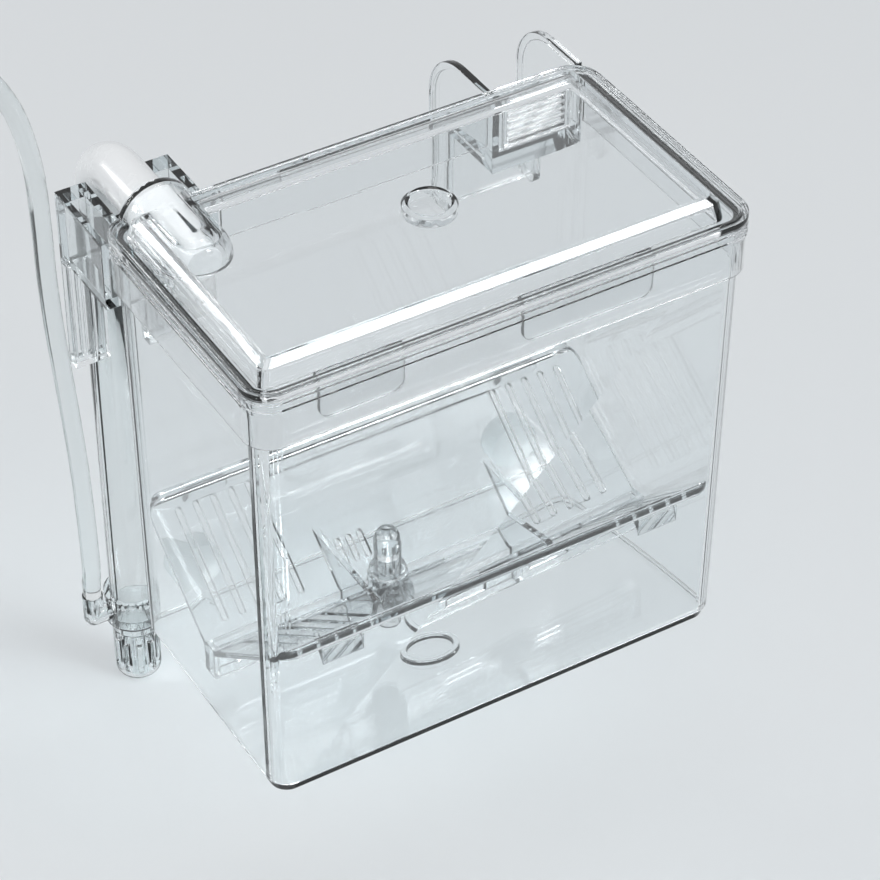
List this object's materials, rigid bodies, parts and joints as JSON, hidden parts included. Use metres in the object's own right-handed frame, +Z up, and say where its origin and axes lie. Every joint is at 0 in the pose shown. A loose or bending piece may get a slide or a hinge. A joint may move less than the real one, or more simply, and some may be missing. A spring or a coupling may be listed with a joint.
{
  "type": "fish breeding box",
  "caption": "Clear hang-on breeding box with a raised lid, V-shaped slotted fry tray, overflow spout, and an air-driven uplift with a white elbow.",
  "frame": {"origin": "on the aquarium's rim at the height of the seats, at mid-length of the box and in the gap between the box and the hook's leg", "axes": "+Z up, +Y towards the aquarium's water, the box hangs towards -Y, +X to the right of someone who faces the box's front"},
  "size_m": [0.3038, 0.1345, 0.2471],
  "materials": {
    "clear_plastic": "clear, polished",
    "clear_tube": "clear, polished",
    "clear_hose": "clear, soft vinyl",
    "white_plastic": "gloss",
    "black_plastic": "satin",
    "soft_rubber": "clear, soft vinyl"
  },
  "bodies": {
    "box": {"tank": "clear_plastic", "hook_bracket": "clear_plastic", "return_spout": "clear_plastic", "outlet_grille": "clear_plastic", "spacer_pads": "soft_rubber"},
    "lid": {"lid": "clear_plastic"},
    "fry_tray": {"fry_tray": "clear_plastic"},
    "keel_plug": {"keel_plug": "clear_plastic"},
    "uplift": {"elbow": "white_plastic", "uplift_tube": "clear_tube", "intake_strainer": "clear_tube", "air_collar": "clear_tube", "airline": "clear_hose", "airline_coil": "clear_hose", "coil_tie": "black_plastic", "valve_body": "white_plastic"},
    "valve_knob": {"valve_knob": "black_plastic"}
  },
  "joints": [
    {"name": "lid_lift", "type": "slide", "parent": "box", "child": "lid", "axis": [0, 0, 1], "range_m": [0, 0.25]},
    {"name": "tray_lift", "type": "slide", "parent": "box", "child": "fry_tray", "axis": [0, 0, 1], "range_m": [0, 0.15]},
    {"name": "plug_lift", "type": "slide", "parent": "fry_tray", "child": "keel_plug", "axis": [0, 0, 1], "range_m": [0, 0.04]},
    {"name": "uplift_lift", "type": "slide", "parent": "box", "child": "uplift", "axis": [0, 0, 1], "range_m": [0, 0.1]},
    {"name": "valve_turn", "type": "hinge", "parent": "uplift", "child": "valve_knob", "pos_m": [-0.156, -0.081, -0.14], "axis": [0, 0, 1], "range_deg": [0, 300]}
  ],
  "couplings": [
    {"joint": "tray_lift", "follows": "lid_lift", "ratio": 0.6},
    {"joint": "plug_lift", "follows": "lid_lift", "ratio": 0.16},
    {"joint": "uplift_lift", "follows": "lid_lift", "ratio": 0.4}
  ]
}
